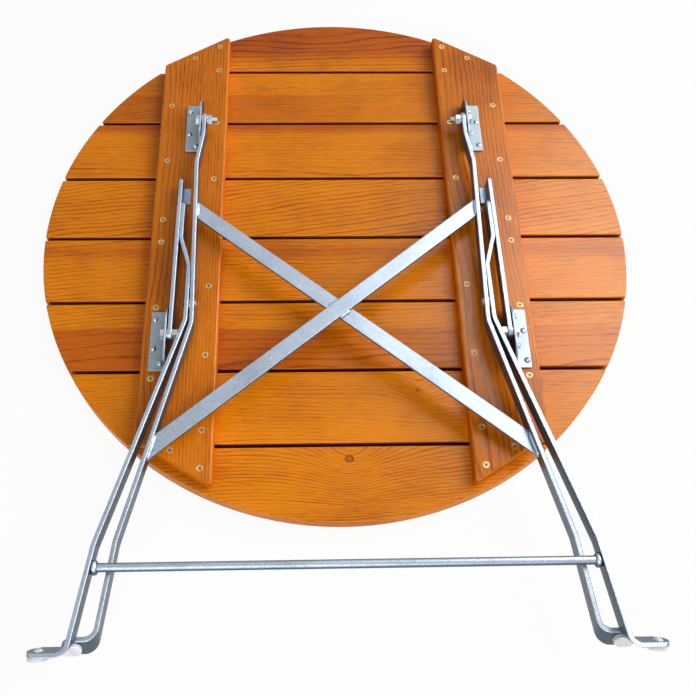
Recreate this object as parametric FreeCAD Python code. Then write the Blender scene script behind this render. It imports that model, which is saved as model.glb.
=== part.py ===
import FreeCAD, Part
import math
import os

# Round folding garden table, folded flat and lying face down on its top.
# Millimetres. +X to the right seen from the feet, +Y away from the feet, +Z up.
# The origin is the centre of the tabletop, on its top face.
# Names with left and right mean the -X and the +X side.

# Tabletop boards
top_diameter = 800.0
slat_count = 8
slat_gap = 4.6
slat_rim_margin = 5.0
slat_thickness = 23.0
slat_corner_radius = 2.0
slat_edge_radius = 1.6

# Battens across the boards
batten_width = 96.0
batten_thickness = 19.0
batten_offset = 204.5
batten_rim_margin = 7.0
batten_corner_radius = 4.0
batten_edge_radius = 3.0

# Flat bar of the frames and links
bar_width = 20.0
bar_thickness = 5.0
side_play = 0.2
pin_clearance = 0.05

# Angle brackets, four of one stamping, with their distance from the batten's inner edge
bracket_length = 84.0
bracket_base_width = 24.0
bracket_eye_margin = 9.75
bracket_thickness = 2.5
bracket_bend_radius = 1.5
bracket_corner_radius = 24.0
bracket_base_corner = 2.0
bracket_hole_pitch = 21.0
bracket_hole_margin = 4.8
bracket_hole_stagger = 10.0
upper_bracket_inset = 33.5
lower_bracket_inset = 61.5

# Fold linkage, lengths along the bars
upper_pivot_y = 175.5
pivot_spacing = 345.2
cross_pivot_reach = 302.3
inner_leg_length = 718.0
outer_top_length = 154.0
outer_foot_overhang = 10.3
fold_clearance = 0.8
link_clearance = 0.5

# Inner legs: joggle below the upper pivot, flare in degrees, knee above the sole, steps outward
inner_joggle_start = 30.0
inner_joggle_end = 80.0
inner_bow_out = 7.0
inner_waist_out = 1.7
inner_bend_lag = 1.7
inner_flare_angle = 14.34
inner_knee_height = 111.0
inner_heel_step = 13.0
inner_toe_step = 35.5

# Outer legs: joggle above the centre rivet, bend past the rivet and before the link's pivot
outer_joggle_start = 100.0
outer_joggle_end = 54.0
outer_bend_past = 28.0
outer_bend_before = 14.9
outer_flare_angle = 16.18
outer_knee_height = 113.0
outer_heel_step = 16.0
outer_toe_step = 41.3

# Bends and feet
bend_radius = 35.0
joggle_radius = 22.0
heel_radius = 13.0
foot_lead = 46.0

# Links and their stop tabs
link_overhang = 46.0
link_corner_radius = 4.0
link_gap = 0.6
tab_start = 13.0
tab_length = 27.0
tab_width = 9.5
tab_thickness = 3.0
tab_clearance = 0.6

# Cross brace of the inner frame and rail of the outer frame
brace_width = 20.0
brace_thickness = 4.0
brace_upper_at = 154.0
brace_lower_height = 220.0
rail_diameter = 10.0
rail_height = 90.0

# Pivot hardware
pin_diameter = 8.0
washer_diameter = 16.0
washer_thickness = 1.6
hex_flats = 13.0
nut_height = 6.5
bolt_head_height = 5.3
upper_bolt_tip = 7.0
rivet_head_diameter = 14.0
rivet_head_height = 3.2

# Screws
screw_diameter = 4.5
screw_tip_length = 4.0
screw_clearance = 0.05
batten_screw_head = 8.6
batten_screw_rim = 0.4
batten_screw_sink = 0.3
batten_screw_skin = 6.0
batten_screw_spread = 33.5
batten_screw_near = 16.0
batten_screw_far = 11.6
end_screw_shift = 3.5
end_screw_margin = 13.5
bracket_screw_margin = 7.5
bracket_screw_head = 8.4
bracket_screw_head_height = 2.6
bracket_screw_length = 15.0
recess_length = 4.4
recess_width = 1.1
recess_depth = 1.7
recess_turn = 37.0

# Foot glides
glide_length = 22.5
glide_width = 17.0
glide_thickness = 5.0
glide_edge_radius = 1.2
glide_stem_diameter = 8.0
glide_head_diameter = 11.0
glide_head_height = 2.5

# Sizes that follow from the ones above
top_radius = top_diameter / 2
slat_width = (top_diameter + slat_rim_margin - (slat_count - 1) * slat_gap) / slat_count
slat_pitch = slat_width + slat_gap
batten_top = slat_thickness + batten_thickness
batten_inner = batten_offset - batten_width / 2
batten_outer = batten_offset + batten_width / 2
batten_reach = top_radius - batten_rim_margin
batten_long = math.sqrt(batten_reach ** 2 - batten_inner ** 2)
batten_short = math.sqrt(batten_reach ** 2 - batten_outer ** 2)
half_bar = bar_width / 2
half_thick = bar_thickness / 2
pin_radius = pin_diameter / 2
hole_radius = pin_radius + pin_clearance
washer_stack = washer_thickness + 2 * side_play

# Pivots along Y, and how the folded outer frame and the links lie over the inner frame's feet
lower_pivot_y = upper_pivot_y - pivot_spacing
cross_pivot_y = upper_pivot_y - cross_pivot_reach
inner_foot_reach = inner_leg_length - cross_pivot_reach
outer_leg_length = inner_foot_reach + outer_foot_overhang
fold_reach = inner_foot_reach - half_bar
outer_rise = math.asin((bar_width + fold_clearance) / fold_reach)
link_rivet_y = cross_pivot_y + outer_top_length * math.cos(outer_rise)
link_rivet_drop = outer_top_length * math.sin(outer_rise)
link_length = math.hypot(link_rivet_y - lower_pivot_y, link_rivet_drop)
link_droop = math.atan2(link_rivet_drop, link_rivet_y - lower_pivot_y)

# Layers across the width: bracket, washer, bar
upper_bracket_x = batten_inner + upper_bracket_inset
lower_bracket_x = batten_inner + lower_bracket_inset
inner_top_x = upper_bracket_x - washer_stack - half_thick
link_x = lower_bracket_x - washer_stack - half_thick
outer_top_x = link_x - bar_thickness - link_gap

X_AXIS = FreeCAD.Vector(1, 0, 0)
Z_AXIS = FreeCAD.Vector(0, 0, 1)
ORIGIN = FreeCAD.Vector(0, 0, 0)


def vec(x, y, z=0.0):
    return FreeCAD.Vector(x, y, z)


# Unfolded position

def outer_lean_for(lean):
    """Lean of the outer legs that keeps the top level when the inner legs lean so far."""
    return math.acos(min(1.0, inner_foot_reach * math.cos(lean) / outer_leg_length))


def link_span(lean):
    """Vector from the lower pivot to the outer leg's rivet on the unfolded table."""
    outer = outer_lean_for(lean)
    along = pivot_spacing - cross_pivot_reach * math.sin(lean) - outer_top_length * math.sin(outer)
    up = cross_pivot_reach * math.cos(lean) - outer_top_length * math.cos(outer)
    return along, up


def unfolded_lean():
    """Lean of the inner legs at which the link's length closes the linkage."""
    low = 0.0
    high = math.pi / 4
    for _ in range(60):
        middle = (low + high) / 2
        if math.hypot(*link_span(middle)) > link_length:
            low = middle
        else:
            high = middle
    return low


inner_lean = unfolded_lean()
outer_lean = outer_lean_for(inner_lean)
link_along, link_up = link_span(inner_lean)
link_tilt = math.atan2(link_up, link_along)
stop_angle = math.pi / 2 - outer_lean - link_tilt
tab_top = half_bar / math.cos(stop_angle) - tab_start * math.tan(stop_angle) + tab_clearance


# Height of the pivots that keeps the folded links and their tabs off the battens

def drop_at(along, below):
    """How far a point of the folded link lies under the pivots."""
    return along * math.sin(link_droop) + below * math.cos(link_droop)


link_end_drop = drop_at(link_length + link_overhang, half_bar)
tab_end_drop = drop_at(link_length + tab_start + tab_length, tab_top + tab_thickness)
pivot_height = max(link_end_drop, tab_end_drop) + link_clearance
pivot_z = batten_top + pivot_height
link_rivet_z = pivot_z - link_rivet_drop
bracket_height = pivot_height + bracket_eye_margin


# Paths of the bars, as distance along and distance from the middle

def path_x(places, along):
    """Distance of a bar from the middle of the table at a distance along it."""
    for (start, start_x), (end, end_x) in zip(places, places[1:]):
        if along <= end:
            break
    return start_x + (end_x - start_x) * (along - start) / (end - start)


def flare(places, angle, end):
    """Path of a leg, carried on outward at an angle in degrees as far as end."""
    start, start_x = places[-1]
    return places + [(end, start_x + (end - start) * math.tan(math.radians(angle)))]


outer_bend_at = max(outer_bend_past, cross_pivot_y - lower_pivot_y - outer_bend_before)
inner_bend_at = cross_pivot_reach + outer_bend_at + inner_bend_lag
inner_places = [
    (0.0, inner_top_x),
    (inner_joggle_start, inner_top_x),
    (inner_joggle_end, inner_top_x + inner_bow_out),
    (inner_bend_at, inner_top_x + inner_waist_out),
]
inner_places = flare(inner_places, inner_flare_angle, inner_leg_length - inner_knee_height)
inner_radii = [joggle_radius, joggle_radius, bend_radius, bend_radius]
inner_cross_x = path_x(inner_places, cross_pivot_reach)
outer_cross_x = inner_cross_x + bar_thickness + washer_stack
outer_places = [
    (-outer_top_length, outer_top_x),
    (-outer_joggle_start, outer_top_x),
    (-outer_joggle_end, outer_cross_x),
    (outer_bend_at, outer_cross_x),
]
outer_places = flare(outer_places, outer_flare_angle, outer_leg_length - outer_knee_height)
outer_radii = [joggle_radius, joggle_radius, bend_radius, bend_radius]


# Shape helpers

def mirrored(shape):
    """The same piece on the left side of the table."""
    return shape.mirror(ORIGIN, X_AXIS)


def pair(shape):
    return Part.makeCompound([mirrored(shape), shape])


def turned_about(shape, y, angle):
    """Copy turned about the X direction through a pivot of the fold, in radians."""
    copy = shape.copy()
    copy.rotate(vec(0, y, pivot_z), X_AXIS, math.degrees(angle))
    return copy


def raised(shape):
    """Outer frame piece, turned from the plane of the pivots to where it lies folded."""
    return turned_about(shape, cross_pivot_y, -outer_rise)


def drooped(shape):
    """Link piece, turned from the plane of the pivots to where it lies folded."""
    return turned_about(shape, lower_pivot_y, -link_droop)


def rod(radius, x_from, x_to, y, z=pivot_z):
    """Round bar along X."""
    return Part.makeCylinder(radius, x_to - x_from, vec(x_from, y, z), X_AXIS)


def bar_hole(x, y):
    """Pivot hole through a bar that stands at x."""
    return rod(hole_radius, x - bar_thickness, x + bar_thickness, y)


def washer(x_from, y):
    disc = rod(washer_diameter / 2, x_from, x_from + washer_thickness, y)
    return disc.cut(rod(hole_radius, x_from, x_from + washer_thickness, y))


def hexagon(x_from, x_to, y):
    """Hexagonal prism along X at the height of the pivots."""
    corner = hex_flats / math.sqrt(3)
    angles = [math.radians(60 * step) for step in range(7)]
    points = [vec(x_from, y + corner * math.cos(a), pivot_z + corner * math.sin(a)) for a in angles]
    return Part.Face(Part.makePolygon(points)).extrude(vec(x_to - x_from, 0))


def dome(base, direction, radius, height):
    """Low round head that rises from base."""
    ball_radius = (radius ** 2 + height ** 2) / (2 * height)
    half_angle = math.asin(radius / ball_radius) / 2
    rim = vec(radius, 0)
    top = vec(0, 0, height)
    middle = top + vec(ball_radius * math.sin(half_angle), 0, ball_radius * (math.cos(half_angle) - 1))
    edges = [Part.makeLine(ORIGIN, rim), Part.Arc(rim, middle, top).toShape(), Part.makeLine(top, ORIGIN)]
    head = Part.Face(Part.Wire(edges)).revolve(ORIGIN, Z_AXIS, 360)
    head.Placement = FreeCAD.Placement(base, FreeCAD.Rotation(Z_AXIS, direction))
    return head


def round_ended(centre, normal, length, width):
    """Face that is long along X and has round ends."""
    radius = width / 2
    across = normal.cross(X_AXIS) * radius
    left = centre - X_AXIS * (length / 2 - radius)
    right = centre + X_AXIS * (length / 2 - radius)
    left_end = Part.Arc(left + across, left - X_AXIS * radius, left - across).toShape()
    right_end = Part.Arc(right - across, right + X_AXIS * radius, right + across).toShape()
    lower = Part.makeLine(left - across, right - across)
    upper = Part.makeLine(right + across, left + across)
    return Part.Face(Part.Wire([left_end, lower, right_end, upper]))


def turned(profile, x, y):
    """Solid turned about a vertical line from (radius, height) points."""
    points = [vec(radius, 0, height) for radius, height in profile]
    solid = Part.Face(Part.makePolygon(points + points[:1])).revolve(ORIGIN, Z_AXIS, 360)
    solid.translate(vec(x, y))
    return solid


def upright_edges(solid):
    return [edge for edge in solid.Edges if abs(edge.tangentAt(edge.FirstParameter).z) > 0.99]


def level_edges(solid, heights):
    """Edges that lie wholly at one of the heights."""
    found = []
    for edge in solid.Edges:
        box = edge.BoundBox
        if any(abs(box.ZMin - z) + abs(box.ZMax - z) < pin_clearance for z in heights):
            found.append(edge)
    return found


def strip_side(points, radii, offset):
    """Edges of one side of a bent strip, offset to the left of its path."""
    runs = [(end - start).normalize() for start, end in zip(points, points[1:])]
    normals = [vec(-run.y, run.x) for run in runs]
    edges = []
    last = points[0] + normals[0] * offset
    for index, radius in enumerate(radii):
        corner = points[index + 1]
        before, after = runs[index], runs[index + 1]
        turn = math.atan2(before.x * after.y - before.y * after.x, before.dot(after))
        side = math.copysign(1.0, turn)
        reach = radius * math.tan(abs(turn) / 2)
        centre = corner - before * reach + normals[index] * (side * radius)
        outward = (corner - centre).normalize()
        arc_start = corner - before * reach + normals[index] * offset
        arc_middle = centre + outward * (radius - side * offset)
        arc_end = corner + after * reach + normals[index + 1] * offset
        edges.append(Part.makeLine(last, arc_start))
        edges.append(Part.Arc(arc_start, arc_middle, arc_end).toShape())
        last = arc_end
    edges.append(Part.makeLine(last, points[-1] + normals[-1] * offset))
    return edges


def strip_face(points, radii):
    """Face of a bent strip, one bar thickness wide."""
    left = strip_side(points, radii, half_thick)
    right = strip_side(points, radii, -half_thick)
    start = Part.makeLine(right[0].firstVertex().Point, left[0].firstVertex().Point)
    end = Part.makeLine(left[-1].lastVertex().Point, right[-1].lastVertex().Point)
    return Part.Face(Part.Wire(Part.__sortEdges__([start] + left + [end] + right)))


# Boards, battens and their screws

def slat_centre(index):
    return (index - (slat_count - 1) / 2) * slat_pitch


def batten_end(x):
    """Half length of a batten at a distance from the middle of the table."""
    return batten_long + (batten_short - batten_long) * (x - batten_inner) / batten_width


def beside_bracket(y):
    """The nearest place along the batten where a screw clears the lower bracket."""
    reach = bracket_length / 2 + bracket_screw_margin
    offset = y - lower_pivot_y
    if abs(offset) < reach:
        return lower_pivot_y + math.copysign(reach, offset)
    return y


def board_screw_places(index):
    """Where the screws of one board stand on the right batten."""
    centre = slat_centre(index)
    side = math.copysign(1.0, centre)
    inner_x = batten_offset - batten_screw_spread
    outer_x = batten_offset + batten_screw_spread
    if index in (0, slat_count - 1):
        outer_x = batten_offset + end_screw_shift
        near = batten_end(outer_x) - end_screw_margin
        far = batten_end(inner_x) - end_screw_margin
    else:
        near = abs(centre) - slat_width / 2 + batten_screw_near
        far = abs(centre) + slat_width / 2 - batten_screw_far
    return [(outer_x, beside_bracket(side * near)), (inner_x, side * far)]


def batten_screw_places():
    """Where the screws of all boards stand on the right batten."""
    return [place for index in range(slat_count) for place in board_screw_places(index)]


def both_sides(places):
    return [(sign * x, y) for x, y in places for sign in (-1, 1)]


def cross_recess(x, y, top):
    """Cross cut in a screw head, turned a little from screw to screw."""
    size = (recess_length, recess_width, 2 * recess_depth)
    slot = Part.makeBox(*size, vec(-recess_length / 2, -recess_width / 2, -recess_depth))
    crossing = slot.copy()
    crossing.rotate(ORIGIN, Z_AXIS, 90)
    recess = slot.fuse(crossing)
    recess.rotate(ORIGIN, Z_AXIS, recess_turn * (x + y) / recess_length)
    recess.translate(vec(x, y, top))
    return recess


def countersunk_profile(grow, top):
    head = batten_screw_head / 2 + grow
    shank = screw_diameter / 2 + grow
    rim = batten_top - batten_screw_sink - batten_screw_rim
    neck = rim - head + shank
    tip = batten_screw_skin - grow
    return [(0, tip), (shank, tip + screw_tip_length), (shank, neck), (head, rim), (head, top), (0, top)]


def batten_screw(x, y):
    top = batten_top - batten_screw_sink
    return turned(countersunk_profile(0.0, top), x, y).cut(cross_recess(x, y, top))


def batten_screw_hole(x, y):
    return turned(countersunk_profile(screw_clearance, batten_top + batten_screw_head), x, y)


def slat(index):
    """One board: a strip of the round top with eased edges."""
    disc = Part.makeCylinder(top_radius, slat_thickness)
    corner = vec(-top_radius, slat_centre(index) - slat_width / 2)
    board = disc.common(Part.makeBox(top_diameter, slat_width, slat_thickness, corner)).Solids[0]
    board = board.makeFillet(slat_corner_radius, upright_edges(board))
    board = board.makeFillet(slat_edge_radius, level_edges(board, (0.0, slat_thickness)))
    places = [(x, y) for x, y in batten_screw_places() if abs(y - slat_centre(index)) < slat_pitch]
    return board.cut(Part.makeCompound([batten_screw_hole(x, y) for x, y in both_sides(places)]))


def batten():
    """Right batten, its ends cut along a chord inside the rim."""
    corners = [
        vec(batten_inner, -batten_long, slat_thickness),
        vec(batten_outer, -batten_short, slat_thickness),
        vec(batten_outer, batten_short, slat_thickness),
        vec(batten_inner, batten_long, slat_thickness),
    ]
    board = Part.Face(Part.makePolygon(corners + corners[:1])).extrude(vec(0, 0, batten_thickness))
    board = board.makeFillet(batten_corner_radius, upright_edges(board))
    board = board.makeFillet(batten_edge_radius, level_edges(board, (batten_top,)))
    for x, y in batten_screw_places():
        board = board.cut(batten_screw_hole(x, y))
    return board


# Brackets and their screws

bracket_seats = {
    "upper": (upper_bracket_x, upper_pivot_y),
    "lower": (lower_bracket_x, lower_pivot_y),
}


def bracket_hole_places():
    """Screw holes of the stamping, from its upright's inner face and its middle."""
    outer = bracket_base_width - bracket_hole_margin
    columns = [outer, outer - bracket_hole_stagger] * 2
    return [(x, (row - 1.5) * bracket_hole_pitch) for row, x in enumerate(columns)]


def bracket_screw_places(level, sign):
    """Screws of one bracket; the left ones are the stamping turned half round."""
    seat_x, seat_y = bracket_seats[level]
    return [(sign * (seat_x + x), seat_y + sign * y) for x, y in bracket_hole_places()]


def bracket_section():
    """Bent angle, seen along its length."""
    bend = bracket_bend_radius + bracket_thickness
    centre = vec(bend, 0, bend)
    diagonal = vec(-math.sqrt(0.5), 0, -math.sqrt(0.5))
    base = [vec(bend, 0, 0), vec(bracket_base_width, 0, 0)]
    base += [vec(bracket_base_width, 0, bracket_thickness), vec(bend, 0, bracket_thickness)]
    upright = [vec(bracket_thickness, 0, bend), vec(bracket_thickness, 0, bracket_height)]
    upright += [vec(0, 0, bracket_height), vec(0, 0, bend)]
    edges = [Part.makeLine(a, b) for a, b in zip(base, base[1:])]
    edges.append(Part.Arc(base[-1], centre + diagonal * bracket_bend_radius, upright[0]).toShape())
    edges += [Part.makeLine(a, b) for a, b in zip(upright, upright[1:])]
    edges.append(Part.Arc(upright[-1], centre + diagonal * bend, base[0]).toShape())
    return Part.Face(Part.Wire(edges))


def bracket(level, sign):
    """Angle bracket with a round-cornered upright and a base that points outward."""
    start = vec(0, -bracket_length / 2)
    angle = bracket_section().extrude(vec(0, bracket_length))
    angle.translate(start)
    blank = Part.makeBox(bracket_base_width, bracket_length, bracket_height, start)
    top_corners = [e for e in level_edges(blank, (bracket_height,)) if e.BoundBox.YLength < pin_clearance]
    rounding = min(bracket_corner_radius, bracket_height - bracket_thickness - bracket_bend_radius)
    angle = angle.common(blank.makeFillet(rounding, top_corners))
    outer_corners = [e for e in upright_edges(blank) if e.BoundBox.XMin > bracket_base_width / 2]
    angle = angle.common(blank.makeFillet(bracket_base_corner, outer_corners))
    angle = angle.cut(rod(hole_radius, -bracket_thickness, 2 * bracket_thickness, 0, pivot_height))
    for x, y in bracket_hole_places():
        hole = Part.makeCylinder(screw_diameter / 2 + screw_clearance, bracket_height, vec(x, y))
        angle = angle.cut(hole)
    if sign < 0:
        angle.rotate(ORIGIN, Z_AXIS, 180)
    seat_x, seat_y = bracket_seats[level]
    angle.translate(vec(sign * seat_x, seat_y, batten_top))
    return angle.Solids[0]


def bracket_screw_shank(x, y, grow):
    seat = batten_top + bracket_thickness
    tip = seat - bracket_screw_length - grow
    radius = screw_diameter / 2 + grow
    return turned([(0, tip), (radius, tip + screw_tip_length), (radius, seat), (0, seat)], x, y)


def bracket_screw(x, y):
    """Round-headed screw that holds a bracket."""
    seat = batten_top + bracket_thickness
    head = dome(vec(x, y, seat), Z_AXIS, bracket_screw_head / 2, bracket_screw_head_height)
    screw = bracket_screw_shank(x, y, 0.0).fuse(head)
    return screw.cut(cross_recess(x, y, seat + bracket_screw_head_height))


def drilled_batten(board, sign):
    """Batten with the holes of its bracket screws."""
    for level in bracket_seats:
        for x, y in bracket_screw_places(level, sign):
            board = board.cut(bracket_screw_shank(x, y, screw_clearance))
    return board


# Pivot hardware of the right side

upper_nut_x = inner_top_x - half_thick - side_play - washer_thickness - nut_height
lower_nut_x = link_x - half_thick - side_play - nut_height


def pivot_bolt(bracket_x, tip_x, y):
    """Hexagon bolt with its head outside the bracket."""
    seat = bracket_x + bracket_thickness
    return hexagon(seat, seat + bolt_head_height, y).fuse(rod(pin_radius, tip_x, seat, y))


def pivot_nut(x_from, y):
    nut = hexagon(x_from, x_from + nut_height, y)
    return nut.cut(rod(hole_radius, x_from, x_from + nut_height, y))


def upper_washers():
    outer = washer(upper_bracket_x - side_play - washer_thickness, upper_pivot_y)
    return [outer, washer(upper_nut_x + nut_height, upper_pivot_y)]


def lower_washer():
    return washer(lower_bracket_x - side_play - washer_thickness, lower_pivot_y)


def headed_rivet(x_from, x_to, y, z, heads):
    """Rivet along X with a round head on each end that heads names by its direction."""
    rivet = rod(pin_radius, x_from, x_to, y, z)
    for sign in heads:
        base = vec(x_to if sign > 0 else x_from, y, z)
        rivet = rivet.fuse(dome(base, X_AXIS * sign, rivet_head_diameter / 2, rivet_head_height))
    return rivet.removeSplitter()


def centre_rivet():
    inner = inner_cross_x - half_thick - side_play
    outer = outer_cross_x + half_thick + side_play
    return headed_rivet(inner, outer, cross_pivot_y, pivot_z, (-1, 1))


def centre_washer():
    return washer(inner_cross_x + half_thick + side_play, cross_pivot_y)


def outer_rivet():
    """Half of the link's pivot that stays in the outer leg."""
    inner = outer_top_x - half_thick
    return headed_rivet(inner, outer_top_x + half_thick, link_rivet_y, link_rivet_z, (-1,))


def link_rivet():
    """Half of the link's pivot that stays in the link."""
    inner = link_x - half_thick
    return headed_rivet(inner, link_x + half_thick, link_rivet_y, link_rivet_z, (1,))


# Legs of the right side, with feet that stand level on the unfolded table

class Leg:
    """A bent flat bar, from its top pivot to its round-toed foot."""

    def __init__(self, start_y, places, radii, length, heel_step, toe_step, lean):
        self.start_y = start_y
        self.places = places
        self.radii = radii
        self.lean = lean
        self.sole_y = start_y - length
        self.heel_x = places[-1][1] + heel_step
        self.toe_radius = half_bar / math.cos(lean)
        self.sole = vec(0, -math.cos(lean), math.sin(lean))
        self.toe_centre = vec(self.heel_x + toe_step - self.toe_radius, self.sole_y, pivot_z)

    def toe_waste(self):
        """What is cut off the strip's end to leave it round."""
        start = self.toe_centre - self.sole * foot_lead
        round_end = Part.makeCylinder(self.toe_radius, 2 * foot_lead, start, self.sole)
        size = (2 * self.toe_radius, 2 * foot_lead, 2 * foot_lead)
        return Part.makeBox(*size, self.toe_centre - vec(0, foot_lead, foot_lead)).cut(round_end)

    def solid(self, pivots):
        """The bar with a round top end and holes for its pivots and its glide."""
        points = [vec(x, self.start_y - along) for along, x in self.places]
        heel = vec(self.heel_x, self.sole_y + half_thick)
        toe = vec(self.toe_centre.x + self.toe_radius + half_thick, heel.y)
        run = (heel - points[-1]).normalize()
        slope = Z_AXIS + run * (math.tan(self.lean) / run.y)
        shank = strip_face(points + [heel - run * (foot_lead / 2)], self.radii)
        shank.translate(vec(0, 0, pivot_z - half_bar))
        foot = strip_face([heel - run * foot_lead, heel, toe], [heel_radius])
        foot.translate(vec(0, 0, pivot_z) - slope * half_bar)
        foot = foot.extrude(slope * bar_width).cut(self.toe_waste())
        top = points[0]
        eye = rod(half_bar, top.x - half_thick, top.x + half_thick, top.y)
        bar = shank.extrude(vec(0, 0, bar_width)).fuse([foot, eye]).removeSplitter()
        for x, y in pivots:
            bar = bar.cut(bar_hole(x, y))
        stem_radius = glide_stem_diameter / 2 + pin_clearance
        stem_start = self.toe_centre - self.sole * foot_lead
        return bar.cut(Part.makeCylinder(stem_radius, 2 * foot_lead, stem_start, self.sole)).Solids[0]

    def glide(self):
        """Glide under the foot, held by a stem and a head on the other side."""
        pad = round_ended(self.toe_centre, self.sole, glide_length, glide_width)
        pad = pad.extrude(self.sole * glide_thickness)
        bottom = max(edge.CenterOfMass.dot(self.sole) for edge in pad.Edges)
        rim = [edge for edge in pad.Edges if edge.CenterOfMass.dot(self.sole) > bottom - pin_clearance]
        pad = pad.makeFillet(glide_edge_radius, rim)
        depth = bar_thickness * math.cos(self.lean)
        inside = self.toe_centre - self.sole * depth
        stem = Part.makeCylinder(glide_stem_diameter / 2, depth, inside, self.sole)
        head = dome(inside, self.sole * -1, glide_head_diameter / 2, glide_head_height)
        return pad.fuse([stem, head])


inner_leg = Leg(
    upper_pivot_y, inner_places, inner_radii, inner_leg_length,
    inner_heel_step, inner_toe_step, inner_lean,
)
outer_leg = Leg(
    cross_pivot_y, outer_places, outer_radii, outer_leg_length,
    outer_heel_step, outer_toe_step, -outer_lean,
)
inner_pivots = [(inner_top_x, upper_pivot_y), (inner_cross_x, cross_pivot_y)]
outer_pivots = [(outer_top_x, cross_pivot_y + outer_top_length), (outer_cross_x, cross_pivot_y)]


def between(shape, legs):
    """The middle of a cross piece, cut off at the legs' inner faces."""
    for leg in legs:
        shape = shape.cut(leg)
    return min(shape.Solids, key=lambda solid: abs(solid.CenterOfMass.x))


def cross_brace(z_from, sign, legs):
    """Flat of the cross brace; its upper end is on the side that sign gives."""
    upper = vec(sign * path_x(inner_places, brace_upper_at), upper_pivot_y - brace_upper_at, z_from)
    lower_at = inner_leg_length - brace_lower_height
    lower = vec(-sign * path_x(inner_places, lower_at), upper_pivot_y - lower_at, z_from)
    run = (upper - lower).normalize()
    across = vec(-run.y, run.x) * (brace_width / 2)
    upper = upper + run * brace_width
    lower = lower - run * brace_width
    corners = [upper + across, lower + across, lower - across, upper - across, upper + across]
    flat = Part.Face(Part.makePolygon(corners)).extrude(vec(0, 0, brace_thickness))
    return between(flat, legs)


def foot_rail(legs):
    """Round rail between the outer legs."""
    reach = outer_places[-1][1] + bar_width
    rail_y = cross_pivot_y - outer_leg_length + rail_height
    return between(rod(rail_diameter / 2, -reach, reach, rail_y), legs)


# Link of the right side

def link():
    """Straight flat from the lower bracket past the rivet in the outer leg."""
    size = (bar_thickness, link_length + link_overhang, bar_width)
    bar = Part.makeBox(*size, vec(link_x - half_thick, lower_pivot_y, pivot_z - half_bar))
    across = [edge for edge in bar.Edges if edge.BoundBox.XLength > half_thick]
    end_corners = [edge for edge in across if edge.BoundBox.YMin > lower_pivot_y + half_bar]
    bar = bar.makeFillet(link_corner_radius, end_corners)
    eye = rod(half_bar, link_x - half_thick, link_x + half_thick, lower_pivot_y)
    bar = bar.fuse(eye).removeSplitter()
    for y in (lower_pivot_y, lower_pivot_y + link_length):
        bar = bar.cut(bar_hole(link_x, y))
    return drooped(bar.Solids[0])


def stop_tab():
    """Plate on the link's back that the outer leg comes to rest against when unfolded."""
    start_y = lower_pivot_y + link_length + tab_start
    corner = vec(link_x - half_thick - tab_width, start_y, pivot_z - tab_top - tab_thickness)
    return drooped(Part.makeBox(tab_width, tab_length, tab_thickness, corner))


# Nodes

def tabletop_nodes():
    nodes = {f"slat_{index + 1}": slat(index) for index in range(slat_count)}
    right_batten = batten()
    nodes["batten_left"] = drilled_batten(mirrored(right_batten), -1)
    nodes["batten_right"] = drilled_batten(right_batten, 1)
    screws = [batten_screw(x, y) for x, y in both_sides(batten_screw_places())]
    nodes["batten_screws"] = Part.makeCompound(screws)
    screws = []
    for level in bracket_seats:
        for side, sign in (("left", -1), ("right", 1)):
            nodes[f"bracket_{level}_{side}"] = bracket(level, sign)
            screws += [bracket_screw(x, y) for x, y in bracket_screw_places(level, sign)]
    nodes["bracket_screws"] = Part.makeCompound(screws)
    return nodes


def pivot_nodes():
    upper_bolt = pivot_bolt(upper_bracket_x, upper_nut_x - upper_bolt_tip, upper_pivot_y)
    lower_bolt = pivot_bolt(lower_bracket_x, lower_nut_x, lower_pivot_y)
    return {
        "upper_pivot_bolts": pair(upper_bolt),
        "lower_pivot_bolts": pair(lower_bolt),
        "upper_pivot_nuts": pair(pivot_nut(upper_nut_x, upper_pivot_y)),
        "lower_pivot_nuts": pair(pivot_nut(lower_nut_x, lower_pivot_y)),
        "upper_pivot_washers": pair(Part.makeCompound(upper_washers())),
        "lower_pivot_washers": pair(lower_washer()),
    }


def inner_frame_nodes():
    right = inner_leg.solid(inner_pivots)
    left = mirrored(right)
    glide = inner_leg.glide()
    return {
        "inner_leg_left": left,
        "inner_leg_right": right,
        "cross_brace_over": cross_brace(pivot_z, 1, (left, right)),
        "cross_brace_under": cross_brace(pivot_z - brace_thickness, -1, (left, right)),
        "centre_rivets": pair(centre_rivet()),
        "centre_washers": pair(centre_washer()),
        "inner_glide_left": mirrored(glide),
        "inner_glide_right": glide,
    }


def outer_frame_nodes():
    right = outer_leg.solid(outer_pivots)
    left = mirrored(right)
    glide = outer_leg.glide()
    return {
        "outer_leg_left": raised(left),
        "outer_leg_right": raised(right),
        "foot_rail": raised(foot_rail((left, right))),
        "outer_rivets": pair(outer_rivet()),
        "outer_glide_left": raised(mirrored(glide)),
        "outer_glide_right": raised(glide),
    }


def link_nodes():
    right = {"link": link(), "stop_tab": stop_tab(), "link_rivet": link_rivet()}
    nodes = {f"{name}_left": mirrored(shape) for name, shape in right.items()}
    nodes.update({f"{name}_right": shape for name, shape in right.items()})
    return nodes


def all_nodes():
    nodes = tabletop_nodes()
    for group in (pivot_nodes, inner_frame_nodes, outer_frame_nodes, link_nodes):
        nodes.update(group())
    return nodes


os.makedirs("parts", exist_ok=True)
for name, shape in all_nodes().items():
    shape.exportStep(f"parts/{name}.step")
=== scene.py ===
import bmesh
import bpy
import math
from bpy.props import FloatProperty, FloatVectorProperty, IntProperty, PointerProperty
from bpy.types import Operator, Panel, PropertyGroup
from mathutils import Matrix, Vector
from typing import NamedTuple


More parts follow.
